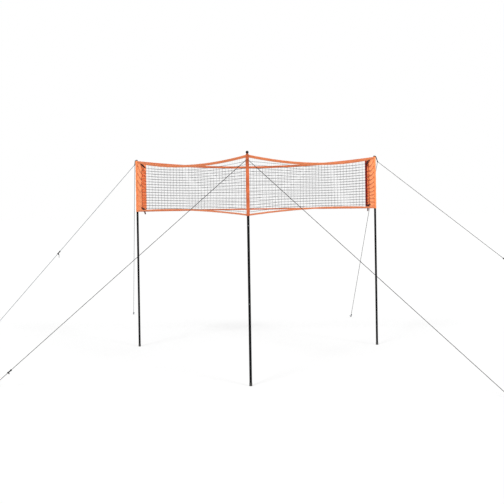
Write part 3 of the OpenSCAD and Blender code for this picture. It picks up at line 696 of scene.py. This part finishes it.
class NETSET_OT_nets(Operator):
    """Knots the three nets of thin twine between their tapes"""
    bl_idname = "netset.nets"
    bl_label = "Nets"

    def execute(self, context):
        settings = context.scene.netset_nets
        # Without a seed, noise_vector starts from the clock, and each run would give other nets
        noise.seed_set(settings.seed)
        for net in NETS.values():
            side, gather = ("front", 0.010) if net.front else ("back", 0.005)
            rows = settings.rows
            columns, twine, thick = (getattr(settings, f"{side}_{key}") for key in ("columns", "twine", "row"))
            # The mesh runs this far into the tapes and panels that hold its edges
            hold = 0.004

            def place(s, t):
                x = lerp(net.start - (0 if net.front else hold), net.end + hold, s)
                low, high = net.bottom(x) + BOTTOM_TAPE - hold, net.top(x) - TOP_TAPE + hold
                loose = sin(pi * t) * sin(pi * clamp(s))
                drift = noise.noise_vector(Vector((x * 3.0, t * 2.5, net.bearing)))
                small = noise.noise_vector(Vector((x * 31.0, t * 19.0, net.bearing + 7.0)))
                bunch = rumple(x * 8.0, t * 1.2, net.bearing + 3.0)
                x += loose * (0.004 * drift.x + gather * bunch + 0.0005 * small.x)
                # The tapes hold the mesh's edges, and the rows between them hang a little low
                free = min(1.0, rows * min(t, 1 - t))
                spread = between(net.spreads, x) * (t - 0.5) * (high - low)
                z = lerp(low, high, t) + free * (spread - between(net.drops, x))
                z += loose * (0.002 * drift.y + 0.0004 * small.y)
                return net.point(x, z, loose * (0.010 * drift.z + 0.0010 * small.z))

            bm = cloth_grid(columns, rows, SPACING, 0.6, place)
            crossings = [v.co.copy() for v in bm.verts if len(v.link_faces) == 4]
            # Each row's twine runs in one length through its knots
            lines = [[place(i / columns, j / rows) for i in range(columns + 1)] for j in range(1, rows)]
            bmesh.ops.wireframe(bm, faces=bm.faces[:], thickness=twine, use_replace=True,
                                use_boundary=True, use_even_offset=True)
            tied = bmesh.new()
            bmesh.ops.create_icosphere(tied, subdivisions=1, radius=settings.knot / 2,
                                       matrix=Matrix.Diagonal((1.0, 1.0, 0.8, 1.0)))
            bmesh.ops.dissolve_limit(tied, angle_limit=0.02, verts=tied.verts, edges=tied.edges)
            lump = bpy.data.meshes.new("lump")
            tied.to_mesh(lump)
            tied.free()
            last = Vector()
            for spot in crossings:
                lump.transform(Matrix.Translation(spot - last))
                last = spot
                bm.from_mesh(lump)
            for line in lines:
                row = bmesh.new()
                tube_into(row, line, thick / 2, 5)
                row.to_mesh(lump)
                row.free()
                bm.from_mesh(lump)
            bpy.data.meshes.remove(lump)
            piece = finish_mesh(bm, net.name + "_twine", FINISH["twine"], smooth=False)
            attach(piece, ROOT)
            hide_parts(net.name + "_net")
        return {"FINISHED"}


class NETSET_OT_tapes(Operator):
    """Folds an edge tape over each net's top and bottom"""
    bl_idname = "netset.tapes"
    bl_label = "Edge tapes"

    def execute(self, context):
        for net in NETS.values():
            for edge in ("top", "bottom"):
                start, end = SEAM_R, SPACING - SEAM_R
                width, seed = (TOP_TAPE, net.bearing + 11) if edge == "top" else (BOTTOM_TAPE, net.bearing + 29)

                def place(s, t):
                    x = lerp(start, end, s)
                    low = net.top(x) - TOP_TAPE if edge == "top" else net.bottom(x)
                    held = min(1.0, 12 * min(s, 1 - s))
                    sway = held * 0.0022 * rumple(x * 7.0, seed, 0.0)
                    curl = held * 0.0016 * (2 * t - 1) * rumple(x * 11.0, seed, 5.0)
                    ripple = held * 0.0008 * rumple(x * 40.0, t * 2, seed)
                    rise = held * 0.0012 * rumple(x * 9.0, seed, 9.0)
                    return net.point(x, low + t * width + rise, sway + curl + ripple)

                bm = cloth_grid(220, 4, end - start, width, place)
                name = f"{net.name}_{edge}_tape"
                finish = FINISH[edge + "_tape" if net.front else "back_tape"]
                piece = solidify(finish_mesh(bm, name + "_cloth", finish), 0.0024)
                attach(piece, ROOT)
                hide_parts(name)
        return {"FINISHED"}


class NETSET_OT_sleeves(Operator):
    """Sews a cloth sleeve round each pole"""
    bl_idname = "netset.sleeves"
    bl_label = "Pole sleeves"

    def execute(self, context):
        middle = 0.0163
        for name, (stand, out, _, _, _) in POLES.items():
            low, high = (NEAR_BOTTOM, NEAR_TOP) if name == "near" else (END_BOTTOM, END_TOP)
            lean = {"near": 0.5, "left": -1.0, "right": 1.0}[name]

            def place(s, t):
                a = 2 * pi * s
                z = lerp(low, high, t)
                # Slack gathers in long folds down the pole and short ones round it, and the ends are hemmed tight
                hem = min(1.0, 14 * min(t, 1 - t))
                wander = rumple(z * 6, cos(a), sin(a) + 3)
                folds = sin(2 * pi * z / 0.085 + 2 * lean * a + 2.0 * wander)
                pleats = cos(5 * a + 2.5 * wander + 3.0 * z)
                drape = rumple(cos(a) * 1.3, sin(a) * 1.3, z * 14)
                r = middle + hem * (0.0006 * folds + 0.0011 * pleats + 0.0009 * drape)
                return stand + turned(min(max(r, 0.0140), 0.0183), degrees(a) + out) + z * UP

            bm = cloth_grid(64, 150, 2 * pi * middle, high - low, place)
            bmesh.ops.remove_doubles(bm, verts=bm.verts, dist=1e-6)
            bmesh.ops.recalc_face_normals(bm, faces=bm.faces)
            cloth = FINISH["near_sleeve" if name == "near" else "cloth"]
            piece = solidify(finish_mesh(bm, name + "_sleeve_cloth", cloth), 0.0012, -1.0)
            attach(piece, ROOT)
            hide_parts(name + "_sleeve")
        return {"FINISHED"}


class EndPanel:
    """Creased cloth between a net's mesh and an end pole. s runs along the net and t up the panel.

    turns is the number of creases up the panel, and low and high are their depth at its bottom and its top.
    """

    def __init__(self, name, net, start, end, turns, low, high):
        self.name, self.net, self.start, self.end = name, net, start, end
        self.turns, self.low, self.high = turns, low, high
        self.seed = len(name) + start
        self.length = net.top(start) - net.bottom(start) - TOP_TAPE - BOTTOM_TAPE

    def height(self, x, t):
        return lerp(self.net.bottom(x) + BOTTOM_TAPE - 0.001, self.net.top(x) - TOP_TAPE + 0.001, t)

    def to_pole(self, s):
        """The share of the way from the mesh to the pole."""
        return s if self.start > 1 else 1 - s

    def crease(self, s, t, lag=0.0):
        """A crease's height from -1 to 1. Creases climb towards the pole at the top, and lie level lower down."""
        x = lerp(self.start, self.end, s)
        z = self.height(x, t)
        to_pole = self.to_pole(s)
        wander = rumple(x * 10, z * 5, self.seed)
        turn = self.turns * (t - 0.18 * t * t) - to_pole * lerp(-0.4, 1.5, t) + 0.45 * wander + lag
        wave = 0.8 * sin(2 * pi * turn) + 0.2 * sin(4 * pi * turn + 1.0)
        depth = lerp(self.low, self.high, clamp((t - 0.35) * 4))
        return wave * depth * min(1.0, 14 * min(t, 1 - t))

    def shade(self, s, t):
        """How light the painted crease shade leaves the cloth, from 0 to 1: painted light on the upper side of each
        crease, seen from outside, and painted shade on its lower side.
        """
        x = lerp(self.start, self.end, s)
        patchy = rumple(x * 18, self.height(x, t) * 9, self.seed + 5)
        upper = self.crease(s, t, -0.25 if self.net.out.y < 0 else 0.25)
        return clamp(0.80 + 0.80 * upper + 0.14 * patchy)

    def spot(self, s, t, height, off=0.0):
        x = lerp(self.start, self.end, s)
        z = self.height(x, t)
        to_pole = self.to_pole(s)
        broad = rumple(x * 16, z * 7, self.seed + 3)
        # The seams and the straps hold the cloth flat, and the middle is looser than the sides
        held = 0.3 + 0.7 * sin(pi * clamp(0.1 + 0.85 * to_pole))
        strap = min(abs(z - at) for at in STRAP_HEIGHTS.values())
        if to_pole < 0.45:
            held *= min(1.0, max(0.15, (strap - 0.012) / 0.030))
        bulge = 0.8 * self.crease(s, t) + 0.5 * self.high * broad * min(1.0, 9 * min(t, 1 - t))
        return self.net.point(x, z, held * height * bulge + off)


END_PANELS = [
    EndPanel("left_front_panel", NETS["front_left"], SPACING - FRONT_PANEL, SPACING - SEAM_R, 10.5, 0.15, 1.0),
    EndPanel("right_front_panel", NETS["front_right"], SPACING - FRONT_PANEL, SPACING - SEAM_R, 15.0, 0.7, 1.0),
    EndPanel("left_back_panel", NETS["back"], SEAM_R, BACK_PANEL, 15.0, 0.3, 0.3),
    EndPanel("right_back_panel", NETS["back"], SPACING - BACK_PANEL, SPACING - SEAM_R, 15.0, 0.3, 0.3),
]


class NETSET_OT_panels(Operator):
    """Sews the creased cloth panels beside the end poles, and binds their inner edges"""
    bl_idname = "netset.panels"
    bl_label = "End panels"

    def execute(self, context):
        settings = context.scene.netset_nets
        height = settings.crease
        for panel in END_PANELS:
            width = panel.end - panel.start
            bm = cloth_grid(36, 200, width, panel.length, lambda s, t: panel.spot(s, t, height), panel.shade)
            finish = FINISH["panel_cloth" if panel.net.front else "back_cloth"]
            piece = solidify(finish_mesh(bm, panel.name + "_cloth", finish), settings.cloth)
            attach(piece, ROOT)
            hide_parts(panel.name)
            self.bind(panel, width, height)
        return {"FINISHED"}

    def bind(self, panel, width, height):
        """A bound edge 12 mm wide on a front panel, whose darker orange is painted shade along that edge, and webbing
        24 mm wide down one face of a back panel, whose dark red is painted shade along that edge.
        """
        back = panel.net.name == "back"
        wide = 0.024 if back else 0.012
        inner = panel.start < 1
        # The left back panel's webbing lies on its rear face, so only the right one shows its painted shade to the
        # camera
        rear = panel.name == "left_back_panel"
        offset = 0.0019 if rear or not back else -0.0019
        sides = (offset,) if back else (offset, -offset)
        for side, off in zip("ab", sides):
            def place(s, t):
                share = s * wide / width
                return panel.spot(1 - share if inner else share, lerp(0.004, 0.996, t), height, off)

            bm = cloth_grid(6, 200, wide, panel.length, place)
            finish, slot = ("edge_webbing", "webbing") if back else ("binding", "sleeve_cloth")
            name = f"{panel.name}_{'webbing' if back else 'binding_' + side}"
            piece = solidify(finish_mesh(bm, name, FINISH[finish]), 0.0014)
            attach(piece, ROOT)


class NETSET_OT_straps(Operator):
    """Sews the webbing straps across the corners at the end poles"""
    bl_idname = "netset.straps"
    bl_label = "Corner straps"

    def execute(self, context):
        half = 0.008
        # Each strap's loose end: how far it hangs below the strap, and how far its tip swings into the triangle
        tails = {"left_bottom": (0.060, 0.020), "left_top": (0.014, 0.0), "right_bottom": (0.060, 0.004),
                 "right_top": (0.040, 0.004)}
        # The tail hangs this far along the strap from the front panel's seam
        tail_at = 0.050 + half
        front = turned(FRONT_PANEL - 0.020, 240)
        back = turned(BACK_PANEL - 0.008, 180)
        along = (back - front).normalized()
        inward = Vector((-along.y, along.x, 0))
        # The route in plan at the right pole: the tab on the front panel's outer face, through the net and round
        # the panel's edge, back to the seam, then across to the back panel. The pairs are how far past the edge,
        # and how far out of the net's plane
        net_way, net_out = turned(1, 240), turned(1, 330)
        face, tab, lap, past_edge = 0.0026, 0.035, 0.012, 0.004
        route = [(FRONT_PANEL + past) * net_way + off * net_out for past, off in (
            (-tab, face), (-lap, face + 0.0006), (past_edge, face), (1.5 * past_edge, 0), (past_edge, -face),
            (-lap, -face - 0.0004))]
        route += [front - net_out * (face - 0.0002), front + lap * along - net_out * 0.0004]
        route += [lerp(front, back, k) + 0.0006 * sin(3 * k) * inward for k in (0.3, 0.5, 0.7, 0.85)]
        route.append(back - 0.0022 * along)
        path = rounded(route, 8)
        steps = [0.0]
        for a, b in zip(path, path[1:]):
            steps.append(steps[-1] + (b - a).length)

        def on_route(s):
            want = s * steps[-1]
            i = min(max(k for k, at in enumerate(steps) if at <= want + 1e-9), len(path) - 2)
            return path[i].lerp(path[i + 1], (want - steps[i]) / (steps[i + 1] - steps[i]))

        # The strap falls this much towards the back panel, and is level with its buckle at that share of the way
        drop, buckle_at = 0.034, 0.42

        def fall(s):
            return (buckle_at - s) * drop

        for side in ("left", "right"):
            stand = RIGHT if side == "right" else LEFT
            for level, z in STRAP_HEIGHTS.items():
                def set_at(place, up):
                    x = place.x if side == "right" else -place.x
                    return stand + Vector((x, place.y, z + up))

                tail_length, swing = tails[f"{side}_{level}"]

                def tail_place(s, t):
                    # s runs across the webbing and t down it, and below the strap it turns to hang face on
                    folded = fall(1 - ((back - front).length - tail_at + half * (1 - 2 * s)) / steps[-1])
                    up = lerp(half + folded - (1 - s) * 2 * half, -half - tail_length, t)
                    below = clamp((-half - 0.006 - up) / 0.026)
                    turn = radians(78) * below * below * (3 - 2 * below)
                    across = (s - 0.5) * 2 * half * (cos(turn) * along + sin(turn) * inward)
                    return set_at(front + tail_at * along + across + (0.0021 + swing * below * t) * inward, up)

                def band_place(s, t):
                    return set_at(on_route(s), lerp(-half, half, t) + fall(s))

                band = cloth_grid(160, 4, steps[-1], 2 * half, band_place)
                tail = cloth_grid(4, 30, 2 * half, 2 * half + tail_length, tail_place)
                for part, bm in (("band", band), ("tail", tail)):
                    name = f"{side}_{level}_strap_{part}"
                    piece = solidify(finish_mesh(bm, name, FINISH["webbing"]), 0.0016)
                    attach(piece, ROOT)
        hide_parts("corner_straps")
        return {"FINISHED"}


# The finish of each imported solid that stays, by a part of its name
SOLID_FINISHES = {"_pole_": "paint", "pole_feet": "rubber",
                  **dict.fromkeys(("button", "pole_spigots", "ground_pegs"), "steel"),
                  **dict.fromkeys(("runner", "lever", "_cap", "ball_top", "corner_buckles"), "plastic")}


class NETSET_OT_hardware(Operator):
    """Gives the poles, tops, feet, buckles, runners and pegs their finishes"""
    bl_idname = "netset.hardware"
    bl_label = "Hardware finishes"

    def execute(self, context):
        for name, node in NODES.items():
            for part, finish in SOLID_FINISHES.items():
                for slot in node.material_slots if part in name else ():
                    slot.material = FINISH[finish]
        return {"FINISHED"}


class NETSET_PT_panel(Panel):
    """The net set's settings and makers"""
    bl_idname = "NETSET_PT_panel"
    bl_label = "Net set"
    bl_space_type = "VIEW_3D"
    bl_region_type = "UI"
    bl_category = "Net set"

    def draw(self, context):
        layout = self.layout
        for group in (context.scene.netset_nets, context.scene.netset_finishes, context.scene.netset_stage):
            box = layout.box()
            for key in group.__annotations__:
                box.prop(group, key)
        for operator in OPERATORS:
            layout.operator(operator.bl_idname)


OPERATORS = (NETSET_OT_stage, NETSET_OT_guys, NETSET_OT_loops, NETSET_OT_tail, NETSET_OT_nets, NETSET_OT_tapes,
             NETSET_OT_sleeves, NETSET_OT_panels, NETSET_OT_straps, NETSET_OT_hardware)
GROUPS = {"netset_nets": NetSettings, "netset_finishes": FinishSettings, "netset_stage": StageSettings}
CLASSES = (*GROUPS.values(), *OPERATORS, NETSET_PT_panel)


def register():
    for cls in CLASSES:
        bpy.utils.register_class(cls)
    for key, group in GROUPS.items():
        setattr(Scene, key, PointerProperty(type=group))


def unregister():
    for key in GROUPS:
        delattr(Scene, key)
    for cls in reversed(CLASSES):
        bpy.utils.unregister_class(cls)


def main():
    register()
    make_finishes(bpy.context.scene.netset_finishes)
    for operator in OPERATORS:
        group, name = operator.bl_idname.split(".")
        getattr(getattr(bpy.ops, group), name)()


if __name__ == "__main__":
    main()
